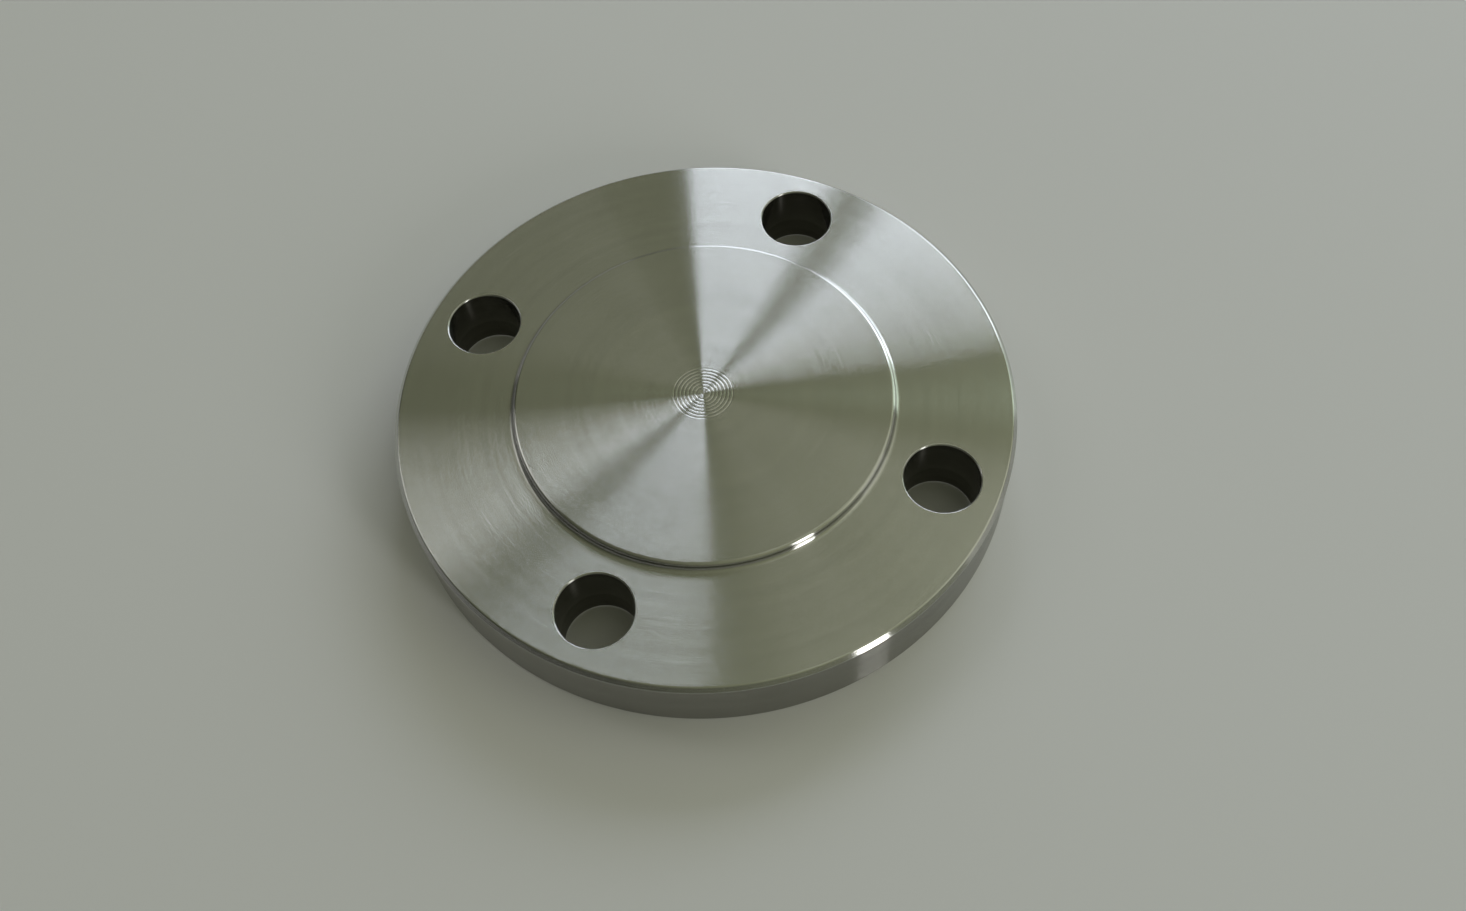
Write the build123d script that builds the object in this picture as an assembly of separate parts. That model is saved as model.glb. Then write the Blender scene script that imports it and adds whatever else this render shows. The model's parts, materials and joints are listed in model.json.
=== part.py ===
from build123d import *
import os

# Blind flange for a 50 mm pipe line, turned from one steel blank. Sizes are in millimetres.
# It lies on its back: the origin is the centre of the back face, +Z points out of the raised face.

# Plate
plate_thickness = 17.5
rim_chamfer = 1.0
back_chamfer = 1.0

# Raised gasket face
face_dia = 92.1
face_height = 2.0
face_edge_chamfer = 0.7
face_root_radius = 0.8

# Bolt holes
bolt_count = 4
bolt_hole_dia = 18.0
bolt_hole_edge_break = 0.25

# Flat land left inside and outside each bolt hole
face_to_bolt_hole = 5.3
bolt_hole_to_rim = 5.65

# How far a cutter runs out of the metal that it cuts
cutter_overrun = 1.5

# The bolt circle, 120.7 across, and the rim, 150 across, follow from the sizes above
face_radius = face_dia / 2
bolt_circle_radius = face_radius + face_to_bolt_hole + bolt_hole_dia / 2
rim_radius = bolt_circle_radius + bolt_hole_dia / 2 + bolt_hole_to_rim
face_level = plate_thickness + face_height

# The bolt holes straddle the flange's centre lines
first_bolt_angle = 180 / bolt_count


def turned_blank():
    # Half section from the axis outwards, spun into the disc with its raised face
    with BuildPart() as blank:
        with BuildSketch(Plane.XZ) as section:
            with BuildLine():
                Polyline(
                    (0, 0),
                    (rim_radius - back_chamfer, 0),
                    (rim_radius, back_chamfer),
                    (rim_radius, plate_thickness - rim_chamfer),
                    (rim_radius - rim_chamfer, plate_thickness),
                    (face_radius, plate_thickness),
                    (face_radius, face_level - face_edge_chamfer),
                    (face_radius - face_edge_chamfer, face_level),
                    (0, face_level),
                    close=True,
                )
            make_face()
            root = section.vertices().sort_by_distance((face_radius, plate_thickness))[0]
            fillet(root, radius=face_root_radius)
        revolve(axis=Axis.Z)
    return blank.part


def bolt_hole_cutter():
    # Drill through the plate, with a cone at each mouth that breaks the edge at 45 degrees
    radius = bolt_hole_dia / 2
    mouth_radius = radius + bolt_hole_edge_break + cutter_overrun
    with BuildPart() as cutter:
        with BuildSketch(Plane.XZ):
            with BuildLine():
                Polyline(
                    (0, -cutter_overrun),
                    (mouth_radius, -cutter_overrun),
                    (radius, bolt_hole_edge_break),
                    (radius, plate_thickness - bolt_hole_edge_break),
                    (mouth_radius, plate_thickness + cutter_overrun),
                    (0, plate_thickness + cutter_overrun),
                    close=True,
                )
            make_face()
        revolve(axis=Axis.Z)
    return cutter.part


def blind_flange():
    flange = turned_blank()
    drill = bolt_hole_cutter()
    bolt_places = PolarLocations(bolt_circle_radius, bolt_count, start_angle=first_bolt_angle)
    for place in bolt_places:
        flange -= place * drill
    flange.label = "blind_flange"
    return flange


os.makedirs("parts", exist_ok=True)
flange = blind_flange()
export_step(flange, "parts/blind_flange.step")
print(f"blind_flange: {flange.volume:.0f} mm3, {flange.bounding_box().size}")
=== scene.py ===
import bpy
import bmesh
import json
from math import cos, pi, radians, sin, tan
from mathutils import Matrix, Vector


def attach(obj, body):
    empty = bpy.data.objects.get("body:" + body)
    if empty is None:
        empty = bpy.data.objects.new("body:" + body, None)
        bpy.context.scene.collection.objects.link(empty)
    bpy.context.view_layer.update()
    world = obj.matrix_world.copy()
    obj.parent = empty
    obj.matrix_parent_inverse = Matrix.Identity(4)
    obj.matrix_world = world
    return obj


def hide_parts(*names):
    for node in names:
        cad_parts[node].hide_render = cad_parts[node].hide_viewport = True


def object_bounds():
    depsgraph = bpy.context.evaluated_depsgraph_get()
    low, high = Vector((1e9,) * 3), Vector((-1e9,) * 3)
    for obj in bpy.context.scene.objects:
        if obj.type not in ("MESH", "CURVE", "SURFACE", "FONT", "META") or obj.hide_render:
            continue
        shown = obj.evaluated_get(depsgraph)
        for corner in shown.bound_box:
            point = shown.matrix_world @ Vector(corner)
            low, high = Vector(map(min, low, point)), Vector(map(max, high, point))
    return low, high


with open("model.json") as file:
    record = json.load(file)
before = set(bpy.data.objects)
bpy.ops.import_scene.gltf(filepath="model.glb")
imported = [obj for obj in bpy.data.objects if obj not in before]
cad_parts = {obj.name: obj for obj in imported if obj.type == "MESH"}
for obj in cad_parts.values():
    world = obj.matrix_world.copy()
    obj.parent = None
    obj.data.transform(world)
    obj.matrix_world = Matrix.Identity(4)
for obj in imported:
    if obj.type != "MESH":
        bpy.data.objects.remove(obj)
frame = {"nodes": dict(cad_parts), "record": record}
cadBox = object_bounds()
print("frame loaded:", sorted(frame["nodes"]))

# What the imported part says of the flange, in metres
rimRadius = cadBox[1].x
faceTop = cadBox[1].z
boltMount = next(m for m in frame["record"]["mounts"] if m["name"] == "bolt_circle")
plateTop = boltMount["pos_m"][2]
boltCircle = boltMount["dims"]["pcd_mm"] / 2000
boreRadius = boltMount["dims"]["hole_r_mm"] / 1000
boltCount = boltMount["dims"]["count"]

finishNames = ["turnedFlat", "centreTurned", "turnedWallPaintedShade", "turnedBevel", "wornEdgeAndHighlight",
               "drilledBorePaintedShade", "boreMouth"]

# Flange body: the same turned blank as the solid, with its corners eased and its centre marks cut
flangeShape = {
    "turnSteps": 256,  # facets round the axis
    "boreSteps": 96,
    "faceRadius": 0.04605,
    "faceBevel": 0.00055,
    "rootRadius": 0.0011,
    "rimBevel": 0.001,
    "backBevel": 0.001,
    "boreBreak": 0.00025,
    # flat lost to each side of an eased corner: of the face, the rim, other corners and the bore mouths
    "easedFace": 0.0004,
    "easedEdge": 0.00024,
    "easedCorner": 0.0001,
    "easedMouth": 0.0001,
    "mouthShare": 0.2,  # how much of a bore mouth's outer eased corner is finished as the mouth
    "landLip": 0.0003,  # flat kept between an edge and the filled land
    "levelGap": 1e-6,  # points this close to a land's height lie on it
    "weldGap": 1e-7,  # points this close together become one
    # tool marks round the centre: where they start and end, how far apart, how wide and how deep
    "markStart": 0.0013,
    "markEnd": 0.0076,
    "markPitch": 0.0009,
    "markWidth": 0.00048,
    "markDepth": 0.000068,
    # a mark's section, in shares of its half width and its depth
    "markSection": ((-1, 0), (-0.6, 0.2), (-0.2, 0.9), (0.2, 0.9), (0.6, 0.2), (1, 0)),
    "pipRadius": 0.0009,
    "pipDepth": 0.00008,
}


def drawSection(mesh, corners):
    # a wire through (radius, height) corners, standing on the +X side of the axis
    verts = [mesh.verts.new((radius, 0, height)) for radius, height in corners]
    for pair in zip(verts, verts[1:]):
        mesh.edges.new(pair)
    return verts


def roundCorners(mesh, corners, offset, segments):
    bmesh.ops.bevel(mesh, geom=corners, offset=offset, offset_type="OFFSET", affect="VERTICES",
                    segments=segments, profile=0.5, material=-1, clamp_overlap=True)


def spinWires(mesh, centre, steps):
    wires = [e for e in mesh.edges if not e.link_faces]
    ends = list(dict.fromkeys(v for e in wires for v in e.verts))
    bmesh.ops.spin(mesh, geom=wires + ends, cent=centre, axis=(0, 0, 1), dvec=(0, 0, 0),
                   angle=2 * pi, steps=steps, use_merge=True, use_duplicate=False)


def boltCentres():
    return [Vector((boltCircle * cos(a), boltCircle * sin(a), 0))
            for a in (pi / boltCount + 2 * pi * k / boltCount for k in range(boltCount))]


def centreMarks(shape):
    # narrow grooves round the centre with flat lands between them, from the inside out
    count = round((shape["markEnd"] - shape["markStart"]) / shape["markPitch"])
    half = shape["markWidth"] / 2
    path = []
    for step in range(count):
        middle = shape["markStart"] + (step + 0.5) * shape["markPitch"]
        for share, dip in shape["markSection"]:
            path.append((middle + share * half, faceTop - dip * shape["markDepth"]))
    return path


def turnRaisedFace(mesh, shape):
    outer = shape["faceRadius"]
    pip = [(0, faceTop - shape["pipDepth"]), (shape["pipRadius"], faceTop)]
    edge = [
        (outer - shape["faceBevel"], faceTop),
        (outer, faceTop - shape["faceBevel"]),
        (outer, plateTop),
        (outer + shape["rootRadius"] + shape["landLip"], plateTop),
    ]
    verts = drawSection(mesh, pip + centreMarks(shape) + edge)
    pipEdge = verts[1]
    bevelTop, bevelFoot, root = verts[-4:-1]
    roundCorners(mesh, [pipEdge], shape["pipRadius"] / 3, 3)
    roundCorners(mesh, [bevelTop], shape["easedFace"], 7)
    roundCorners(mesh, [bevelFoot], shape["easedCorner"], 3)
    roundCorners(mesh, [root], shape["rootRadius"], 8)
    spinWires(mesh, (0, 0, 0), shape["turnSteps"])


def turnRim(mesh, shape):
    verts = drawSection(mesh, [
        (rimRadius - shape["rimBevel"] - shape["landLip"], plateTop),
        (rimRadius - shape["rimBevel"], plateTop),
        (rimRadius, plateTop - shape["rimBevel"]),
        (rimRadius, shape["backBevel"]),
        (rimRadius - shape["backBevel"], 0),
        (rimRadius - shape["backBevel"] - shape["landLip"], 0),
    ])
    roundCorners(mesh, [verts[1]], shape["easedEdge"], 5)
    roundCorners(mesh, verts[2:5], shape["easedCorner"], 3)
    spinWires(mesh, (0, 0, 0), shape["turnSteps"])


def drillBores(mesh, shape):
    for centre in boltCentres():
        mouth = boreRadius + shape["boreBreak"]
        verts = drawSection(mesh, [
            (mouth + shape["landLip"] / 2, plateTop),
            (mouth, plateTop),
            (boreRadius, plateTop - shape["boreBreak"]),
            (boreRadius, shape["boreBreak"]),
            (mouth, 0),
            (mouth + shape["landLip"] / 2, 0),
        ])
        bmesh.ops.translate(mesh, verts=verts, vec=centre)
        roundCorners(mesh, verts[1:5], shape["easedMouth"], 3)
        spinWires(mesh, centre, shape["boreSteps"])


def fillLands(mesh, shape):
    for height, up in ((plateTop, 1), (0, -1)):
        ring = [e for e in mesh.edges
                if e.is_boundary and all(abs(v.co.z - height) < shape["levelGap"] for v in e.verts)]
        bmesh.ops.triangle_fill(mesh, edges=ring, normal=(0, 0, up),
                                use_beauty=True, use_dissolve=False)


# The upright part of a face's normal, by which its finish is told
uprights = {
    "wall": 0.1,  # a wall has less
    "flat": 0.9,  # a flat has more
    "edge": (0.73, 0.999),  # an eased corner of a flat lies between
}


def finishOf(face, centres):
    # which of the finishes a face takes, by its place and by how far it leans
    middle = face.calc_center_median()
    height = middle.z
    middle.z = 0
    upright = abs(face.normal.z)
    isWall = upright < uprights["wall"]
    isFlat = upright > uprights["flat"]
    reach = boreRadius + flangeShape["boreBreak"] + flangeShape["mouthShare"] * flangeShape["easedMouth"]
    if any((middle - c).length < reach for c in centres):
        return finishNames.index("drilledBorePaintedShade" if isWall else "boreMouth")
    outside = middle.length > flangeShape["faceRadius"] + flangeShape["rootRadius"]
    top = plateTop if outside else faceTop
    nearEdge = outside or middle.length > flangeShape["faceRadius"] - 2 * flangeShape["faceBevel"]
    eased = flangeShape["easedEdge" if outside else "easedFace"]
    least, most = uprights["edge"]
    if nearEdge and least < upright < most and 0 < top - height < eased:
        return finishNames.index("wornEdgeAndHighlight")
    if isFlat and middle.length < flangeShape["markEnd"] and height > plateTop:
        return finishNames.index("centreTurned")
    if isFlat:
        return finishNames.index("turnedFlat")
    return finishNames.index("turnedWallPaintedShade" if isWall else "turnedBevel")


def makeFlange():
    mesh = bmesh.new()
    turnRaisedFace(mesh, flangeShape)
    turnRim(mesh, flangeShape)
    drillBores(mesh, flangeShape)
    fillLands(mesh, flangeShape)
    bmesh.ops.remove_doubles(mesh, verts=mesh.verts, dist=flangeShape["weldGap"])
    bmesh.ops.dissolve_degenerate(mesh, edges=mesh.edges, dist=flangeShape["weldGap"] / 10)
    bmesh.ops.recalc_face_normals(mesh, faces=mesh.faces)
    centres = boltCentres()
    for face in mesh.faces:
        face.smooth = True
        face.material_index = finishOf(face, centres)
    data = bpy.data.meshes.new("turnedFlange")
    mesh.to_mesh(data)
    openEdges = sum(1 for e in mesh.edges if not e.is_manifold)
    volume = round(mesh.calc_volume() * 1e9)
    print("flange:", len(mesh.faces), "faces,", openEdges, "open edges,", volume, "mm3")
    mesh.free()
    piece = bpy.data.objects.new("turnedFlange", data)
    bpy.context.scene.collection.objects.link(piece)
    weighted = piece.modifiers.new("evenShade", "WEIGHTED_NORMAL")
    weighted.mode = "FACE_AREA"
    weighted.weight = 100
    weighted.keep_sharp = False
    return piece


# Turned steel, as every finish of the flange has it
turnedSteel = {
    "steel": (0.60, 0.60, 0.575, 1),
    "wornSteel": (0.54, 0.54, 0.515, 1),
    "wornShare": 0.3,  # how much of the worn steel shows, and how far that changes from place to place
    "wornChange": 1.2,
    "anisotropic": 1.0,
    "acrossGrooves": 0.25,  # turns the stretch of the highlight across the grooves
    "heightShare": 1.37,  # counts heights with radii, so that grooves run round walls and bevels too
    "ringScale": 260,  # the unevenness from ring to ring and from patch to patch, per metre
    "patchScale": 55,
    "nickScale": 130,  # cells per metre that may hold a nick
    "nickShare": 0.12,
    "nickSize": 0.022,
    "nickRoughness": 0.35,
}


def link(tree, start, end):
    tree.links.new(start, end)


def mathNode(tree, operation, a, b=None, c=None):
    node = tree.nodes.new("ShaderNodeMath")
    node.operation = operation
    for slot, value in enumerate((a, b, c)):
        if value is None:
            continue
        if isinstance(value, (int, float)):
            node.inputs[slot].default_value = value
        else:
            link(tree, value, node.inputs[slot])
    return node.outputs[0]


def vectorNode(tree, operation, a=None, b=None):
    node = tree.nodes.new("ShaderNodeVectorMath")
    node.operation = operation
    for slot, value in enumerate((a, b)):
        if value is not None:
            link(tree, value, node.inputs[slot])
    return node


def splitVector(tree, vector):
    parts = tree.nodes.new("ShaderNodeSeparateXYZ")
    link(tree, vector, parts.inputs[0])
    return parts.outputs


def aroundAxis(tree, x, y):
    # which way a groove runs at x and y
    along = tree.nodes.new("ShaderNodeCombineXYZ")
    link(tree, mathNode(tree, "MULTIPLY", y, -1), along.inputs[0])
    link(tree, x, along.inputs[1])
    return along.outputs[0]


def noiseAlong(tree, distance, scale, detail):
    node = tree.nodes.new("ShaderNodeTexNoise")
    node.noise_dimensions = "1D"
    node.inputs["Scale"].default_value = scale
    node.inputs["Detail"].default_value = detail
    link(tree, distance, node.inputs["W"])
    return mathNode(tree, "SUBTRACT", node.outputs[0], 0.5)


def noiseOver(tree, position, scale, detail):
    node = tree.nodes.new("ShaderNodeTexNoise")
    node.inputs["Scale"].default_value = scale
    node.inputs["Detail"].default_value = detail
    link(tree, position, node.inputs["Vector"])
    return mathNode(tree, "SUBTRACT", node.outputs[0], 0.5)


def nickMask(tree, position):
    # a few pin-prick nicks, one at most in each cell
    cells = tree.nodes.new("ShaderNodeTexVoronoi")
    cells.inputs["Scale"].default_value = turnedSteel["nickScale"]
    link(tree, position, cells.inputs["Vector"])
    chances = splitVector(tree, cells.outputs["Color"])
    chosen = mathNode(tree, "LESS_THAN", chances[0], turnedSteel["nickShare"])
    size = mathNode(tree, "MULTIPLY", chances[1], 2 * turnedSteel["nickSize"])
    inside = mathNode(tree, "LESS_THAN", cells.outputs["Distance"], size)
    return mathNode(tree, "MULTIPLY", chosen, inside)


def makeTurnedGroup():
    # fine circular tool marks: colour, roughness and normal over any surface turned about Z
    tree = bpy.data.node_groups.new("turnedMarks", "ShaderNodeTree")
    face = tree.interface
    face.new_socket("Position", in_out="INPUT", socket_type="NodeSocketVector")
    for name, value in (("Pitch", 0.000004), ("Slope", 1.0), ("Roughness", 0.15), ("Unevenness", 0.1)):
        face.new_socket(name, in_out="INPUT", socket_type="NodeSocketFloat").default_value = value
    face.new_socket("Steel", in_out="INPUT", socket_type="NodeSocketColor")
    face.new_socket("Worn steel", in_out="INPUT", socket_type="NodeSocketColor")
    face.new_socket("Colour", in_out="OUTPUT", socket_type="NodeSocketColor")
    face.new_socket("Roughness", in_out="OUTPUT", socket_type="NodeSocketFloat")
    face.new_socket("Normal", in_out="OUTPUT", socket_type="NodeSocketVector")
    start = tree.nodes.new("NodeGroupInput").outputs
    end = tree.nodes.new("NodeGroupOutput").inputs
    x, y, z = splitVector(tree, start["Position"])
    square = mathNode(tree, "MULTIPLY_ADD", x, x, mathNode(tree, "MULTIPLY", y, y))
    radius = mathNode(tree, "SQRT", square)
    # a measure that grows across the grooves of flats, walls and bevels
    ring = mathNode(tree, "MULTIPLY_ADD", z, -turnedSteel["heightShare"], radius)
    groove = noiseAlong(tree, mathNode(tree, "DIVIDE", ring, start["Pitch"]), 1, 0)
    wave = mathNode(tree, "MULTIPLY", groove, start["Slope"])
    surface = tree.nodes.new("ShaderNodeNewGeometry").outputs["Normal"]
    sideways = vectorNode(tree, "CROSS_PRODUCT", surface, aroundAxis(tree, x, y))
    across = vectorNode(tree, "NORMALIZE", sideways.outputs[0])
    lean = vectorNode(tree, "SCALE", across.outputs[0])
    link(tree, wave, lean.inputs["Scale"])
    leaning = vectorNode(tree, "ADD", surface, lean.outputs[0])
    link(tree, vectorNode(tree, "NORMALIZE", leaning.outputs[0]).outputs[0], end["Normal"])
    rings = noiseAlong(tree, ring, turnedSteel["ringScale"], 3)
    patches = noiseOver(tree, start["Position"], turnedSteel["patchScale"], 4)
    uneven = mathNode(tree, "ADD", rings, patches)
    nicks = nickMask(tree, start["Position"])
    factor = mathNode(tree, "MULTIPLY_ADD", uneven, start["Unevenness"], 1)
    rough = mathNode(tree, "MULTIPLY", factor, start["Roughness"])
    nicked = mathNode(tree, "MULTIPLY_ADD", nicks, turnedSteel["nickRoughness"], rough)
    link(tree, nicked, end["Roughness"])
    tint = tree.nodes.new("ShaderNodeMix")
    tint.data_type = "RGBA"
    tint.clamp_factor = True
    worn = mathNode(tree, "MULTIPLY_ADD", uneven, turnedSteel["wornChange"], turnedSteel["wornShare"])
    link(tree, worn, tint.inputs[0])
    link(tree, start["Steel"], tint.inputs[6])
    link(tree, start["Worn steel"], tint.inputs[7])
    link(tree, tint.outputs[2], end["Colour"])
    return tree


def steelMaterial(name, group, values):
    material = bpy.data.materials.new(name)
    material.use_nodes = True
    tree = material.node_tree
    shader = tree.nodes["Principled BSDF"]
    place = tree.nodes.new("ShaderNodeTexCoord")
    position = place.outputs["Object"]
    x, y, z = splitVector(tree, position)
    if values.get("aroundBores"):
        step = boltCircle * cos(pi / boltCount)
        x = mathNode(tree, "MULTIPLY_ADD", mathNode(tree, "SIGN", x), -step, x)
        y = mathNode(tree, "MULTIPLY_ADD", mathNode(tree, "SIGN", y), -step, y)
        local = tree.nodes.new("ShaderNodeCombineXYZ")
        link(tree, x, local.inputs[0])
        link(tree, y, local.inputs[1])
        link(tree, z, local.inputs[2])
        position = local.outputs[0]
    link(tree, aroundAxis(tree, x, y), shader.inputs["Tangent"])
    marks = tree.nodes.new("ShaderNodeGroup")
    marks.node_tree = group
    link(tree, position, marks.inputs["Position"])
    for socket in ("Pitch", "Slope", "Roughness", "Unevenness"):
        marks.inputs[socket].default_value = values[socket.lower()]
    marks.inputs["Steel"].default_value = values.get("steel", turnedSteel["steel"])
    marks.inputs["Worn steel"].default_value = values.get("wornSteel", turnedSteel["wornSteel"])
    for socket, target in (("Colour", "Base Color"), ("Roughness", "Roughness"), ("Normal", "Normal")):
        link(tree, marks.outputs[socket], shader.inputs[target])
    shader.inputs["Metallic"].default_value = 1
    shader.inputs["Anisotropic"].default_value = turnedSteel["anisotropic"]
    shader.inputs["Anisotropic Rotation"].default_value = turnedSteel["acrossGrooves"]
    return material


# Each finish: how far apart its grooves are, how steeply they lean and how rough they are lengthways
finishes = {
    "turnedFlat": {"pitch": 0.000004, "slope": 1.14, "roughness": 0.16, "unevenness": 0.12},
    "centreTurned": {"pitch": 0.000004, "slope": 0.9, "roughness": 0.22, "unevenness": 0.12},
    # the rim wall's darker steel is painted shade: it stands in for the shadowed floor that the wall
    # reflects
    "turnedWallPaintedShade": {"pitch": 0.000004, "slope": 2.9, "roughness": 0.16, "unevenness": 0.2,
                   "steel": (0.36, 0.355, 0.335, 1), "wornSteel": (0.29, 0.285, 0.265, 1)},
    "turnedBevel": {"pitch": 0.000004, "slope": 0.4, "roughness": 0.15, "unevenness": 0.2},
    # the eased edges' lighter steel is partly burnished wear and partly a painted highlight that
    # brightens the edge lines
    "wornEdgeAndHighlight": {"pitch": 0.000004, "slope": 0.25, "roughness": 0.16, "unevenness": 0.4,
                 "steel": (0.66, 0.66, 0.635, 1)},
    # the bores' very dark steel is painted shade: it stands in for the shade inside the holes
    "drilledBorePaintedShade": {"pitch": 0.00002, "slope": 0.8, "roughness": 0.24, "unevenness": 0.4,
                    "aroundBores": True,
                    "steel": (0.20, 0.195, 0.175, 1), "wornSteel": (0.11, 0.105, 0.09, 1)},
    # the bore mouths' lighter steel is partly burnished wear and partly a painted highlight for the
    # glints at the mouths
    "boreMouth": {"pitch": 0.000004, "slope": 0.6, "roughness": 0.3, "unevenness": 0.4,
                  "aroundBores": True,
                  "steel": (0.66, 0.66, 0.635, 1)},
}


# Floor
studio = {
    "floorColour": (0.85, 0.845, 0.86, 1),
    "floorRadius": 1.58,
    "floorSteps": 128,
    "floorRoughness": 0.9,
    "floorShine": 0.2,
    "contactGap": 0.0002,  # the floor lets light through to an underside that lies closer than this
}


def makeFloor():
    mesh = bmesh.new()
    bmesh.ops.create_circle(mesh, cap_ends=True, segments=studio["floorSteps"],
                            radius=studio["floorRadius"])
    data = bpy.data.meshes.new("floor")
    mesh.to_mesh(data)
    mesh.free()
    floor = bpy.data.objects.new("floor", data)
    bpy.context.scene.collection.objects.link(floor)
    material = bpy.data.materials.new("paleFloor")
    material.use_nodes = True
    tree = material.node_tree
    shader = tree.nodes["Principled BSDF"]
    shader.inputs["Base Color"].default_value = studio["floorColour"]
    shader.inputs["Roughness"].default_value = studio["floorRoughness"]
    shader.inputs["Specular IOR Level"].default_value = studio["floorShine"]
    path = tree.nodes.new("ShaderNodeLightPath")
    clear = tree.nodes.new("ShaderNodeBsdfTransparent")
    mix = tree.nodes.new("ShaderNodeMixShader")
    touching = mathNode(tree, "LESS_THAN", path.outputs["Ray Length"], studio["contactGap"])
    link(tree, touching, mix.inputs[0])
    link(tree, shader.outputs[0], mix.inputs[1])
    link(tree, clear.outputs[0], mix.inputs[2])
    link(tree, mix.outputs[0], tree.nodes["Material Output"].inputs["Surface"])
    data.materials.append(material)


# Camera in the row frame, worked out from the rim, the raised face and the bolt holes in the photo
cameraPlace = {
    "place": (-0.050979, -0.172789, 0.290569),
    "right": (0.92662938, -0.37406147, -0.03789479),
    "forward": (0.16146017, 0.48693104, -0.85838731),
    "lens": 33.22,
    "sensor": 36,
    "nearest": 0.01,
    "furthest": 20,
}


def makeCamera():
    data = bpy.data.cameras.new("photoView")
    data.sensor_width = cameraPlace["sensor"]
    data.lens = cameraPlace["lens"]
    data.clip_start = cameraPlace["nearest"]
    data.clip_end = cameraPlace["furthest"]
    camera = bpy.data.objects.new("photoView", data)
    right = Vector(cameraPlace["right"])
    back = -Vector(cameraPlace["forward"])
    up = back.cross(right)
    turn = Matrix((right, up, back)).transposed().to_4x4()
    camera.matrix_world = Matrix.Translation(cameraPlace["place"]) @ turn
    bpy.context.scene.collection.objects.link(camera)
    bpy.context.scene.camera = camera


# Lights, from where the camera stands: azimuth 0 is to its right, 90 straight away from it
room = {
    "turn": -16.438,  # the camera's own azimuth in the row frame
    "windowDistance": 1.6,
    # the panes' sides and heights, as shares of the window's distance, and their glow
    "panes": {
        "upperLeft": (0.014, 0.267, 0.477, 0.937, 3.4),
        "upperRight": (0.340, 1.175, 0.477, 0.937, 3.9),
        "lowerLeft": (0.014, 0.29, 0.12, 0.45, 1.5),
        "lowerRight": (0.45, 1.175, 0.12, 0.45, 1.5),
    },
    "windowColour": (0.81, 0.87, 1.0),
    # where each panel's middle is and how far it reaches to each side, in degrees
    "panels": {
        "panelLeft": {"azimuth": 148, "elevation": 44.5, "halfWide": 10, "halfHigh": 15, "glow": 1.1},
        "panelFar": {"azimuth": 117, "elevation": 14, "halfWide": 18, "halfHigh": 8, "glow": 0.24},
        "panelHigh": {"azimuth": 40, "elevation": 70, "halfWide": 20, "halfHigh": 14, "glow": 0.37},
        "panelRight": {"azimuth": 33, "elevation": 10, "halfWide": 12, "halfHigh": 10, "glow": 1.1},
        "panelLow": {"azimuth": -7, "elevation": 18, "halfWide": 10, "halfHigh": 7, "glow": 0.42},
        "panelCorner": {"azimuth": 33, "elevation": 34, "halfWide": 5, "halfHigh": 8, "glow": 0.8},
        "panelEast": {"azimuth": 0, "elevation": 42, "halfWide": 25, "halfHigh": 12, "glow": 0.3},
        "lampNear": {"azimuth": -50.5, "elevation": 20, "halfWide": 4.5, "halfHigh": 11, "glow": 7.2},
    },
    "panelColours": {"panelRight": (0.82, 1.0, 0.86), "panelCorner": (0.82, 1.0, 0.86)},
    "panelColour": (1.0, 1.0, 0.98),
    "panelDistance": 2.0,
    "airColour": (0.95, 1.0, 0.66),
    "airLevel": 0.162,
    "airSlope": (0.22, -0.005, 0.06),  # how the level grows to the right, away and upwards
    "airLow": 0.25,  # the share of it that is left near the floor
    "airRise": 1.6,
    "airFloor": 0.07,
    "farColour": (0.99, 0.98, 1.0),  # the pale distance past the floor's edge, and how high it reaches
    "farLevel": 0.34,
    "farReach": 0.2,
}


def toRowFrame(vector):
    return Matrix.Rotation(radians(room["turn"]), 3, "Z") @ Vector(vector)


def makeLamp(name, place, facing, size, glow, colour):
    # a soft rectangle of even glow; its power is its glow over its area, times pi
    data = bpy.data.lights.new(name, "AREA")
    data.shape = "RECTANGLE"
    data.size, data.size_y = size
    data.energy = glow * pi * size[0] * size[1]
    data.color = colour
    lamp = bpy.data.objects.new(name, data)
    lamp.location = toRowFrame(place)
    lamp.rotation_mode = "QUATERNION"
    lamp.rotation_quaternion = (-toRowFrame(facing)).to_track_quat("Z", "Y")
    bpy.context.scene.collection.objects.link(lamp)


def makeWindow():
    reach = room["windowDistance"]
    for name, (left, right, low, high, glow) in room["panes"].items():
        place = (reach * (left + right) / 2, reach, reach * (low + high) / 2)
        size = (reach * (right - left), reach * (high - low))
        makeLamp(name, place, (0, -1, 0), size, glow, room["windowColour"])


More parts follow.
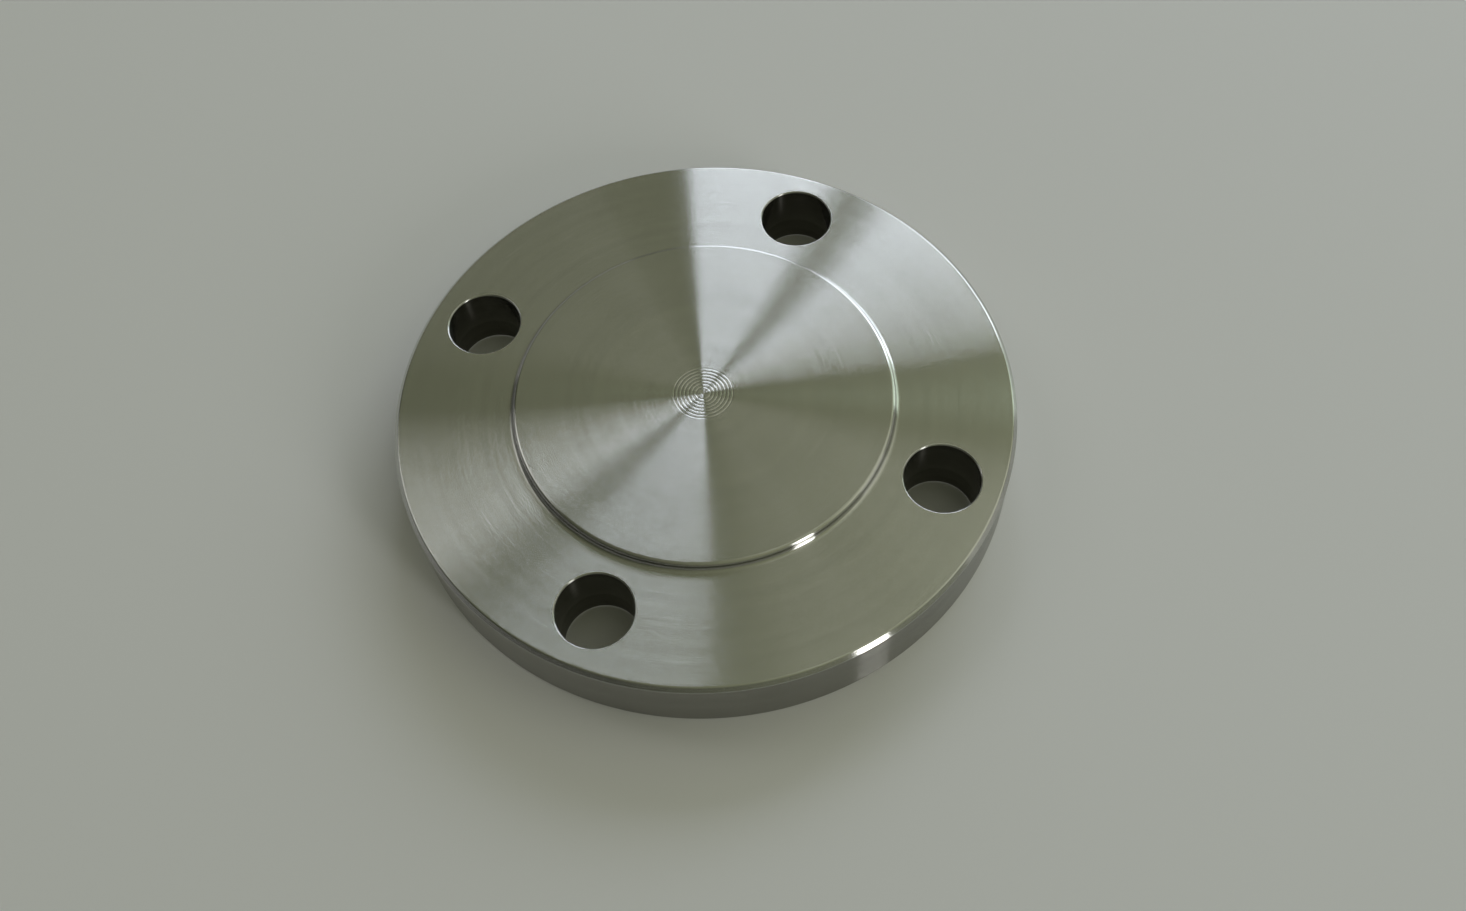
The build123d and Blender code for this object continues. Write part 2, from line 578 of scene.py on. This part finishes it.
def makePanel(name, values):
    azimuth = radians(values["azimuth"])
    elevation = radians(values["elevation"])
    reach = room["panelDistance"]
    level = cos(elevation)
    towards = Vector((cos(azimuth) * level, sin(azimuth) * level, sin(elevation)))
    wide = 2 * reach * tan(radians(values["halfWide"])) * level
    high = 2 * reach * tan(radians(values["halfHigh"]))
    colour = room["panelColours"].get(name, room["panelColour"])
    makeLamp(name, towards * reach, -towards, (wide, high), values["glow"], colour)


def makeAir():
    # a dim, even room that gets a little lighter to the right, over a pale distance
    world = bpy.data.worlds.new("room")
    world.use_nodes = True
    tree = world.node_tree
    shade = tree.nodes["Background"]
    direction = tree.nodes.new("ShaderNodeTexCoord").outputs["Generated"]
    slope = vectorNode(tree, "DOT_PRODUCT", direction)
    slope.inputs[1].default_value = toRowFrame(room["airSlope"])
    slanted = mathNode(tree, "ADD", slope.outputs["Value"], room["airLevel"])
    level = mathNode(tree, "MAXIMUM", slanted, room["airFloor"])
    height = splitVector(tree, direction)[2]
    rise = mathNode(tree, "MULTIPLY", height, room["airRise"])
    share = mathNode(tree, "MINIMUM", mathNode(tree, "MAXIMUM", rise, room["airLow"]), 1)
    air = vectorNode(tree, "SCALE")
    air.inputs[0].default_value = room["airColour"]
    link(tree, mathNode(tree, "MULTIPLY", level, share), air.inputs["Scale"])
    fall = mathNode(tree, "MULTIPLY_ADD", height, -1 / room["farReach"], 1)
    near = mathNode(tree, "MINIMUM", mathNode(tree, "MAXIMUM", fall, 0), 1)
    far = vectorNode(tree, "SCALE")
    far.inputs[0].default_value = room["farColour"]
    link(tree, mathNode(tree, "MULTIPLY", near, room["farLevel"]), far.inputs["Scale"])
    both = vectorNode(tree, "ADD", air.outputs[0], far.outputs[0])
    link(tree, both.outputs[0], shade.inputs["Color"])
    shade.inputs["Strength"].default_value = 1
    bpy.context.scene.world = world


bpy.context.scene.view_settings.view_transform = "Standard"
flange = makeFlange()
turnedMarks = makeTurnedGroup()
for finishName in finishNames:
    flange.data.materials.append(steelMaterial(finishName, turnedMarks, finishes[finishName]))
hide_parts("blind_flange")
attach(flange, "root")
print("flange finished in", len(finishes), "finishes")
makeFloor()
makeCamera()
makeWindow()
for panelName, panelValues in room["panels"].items():
    makePanel(panelName, panelValues)
makeAir()
print("floor, camera and lights in place")
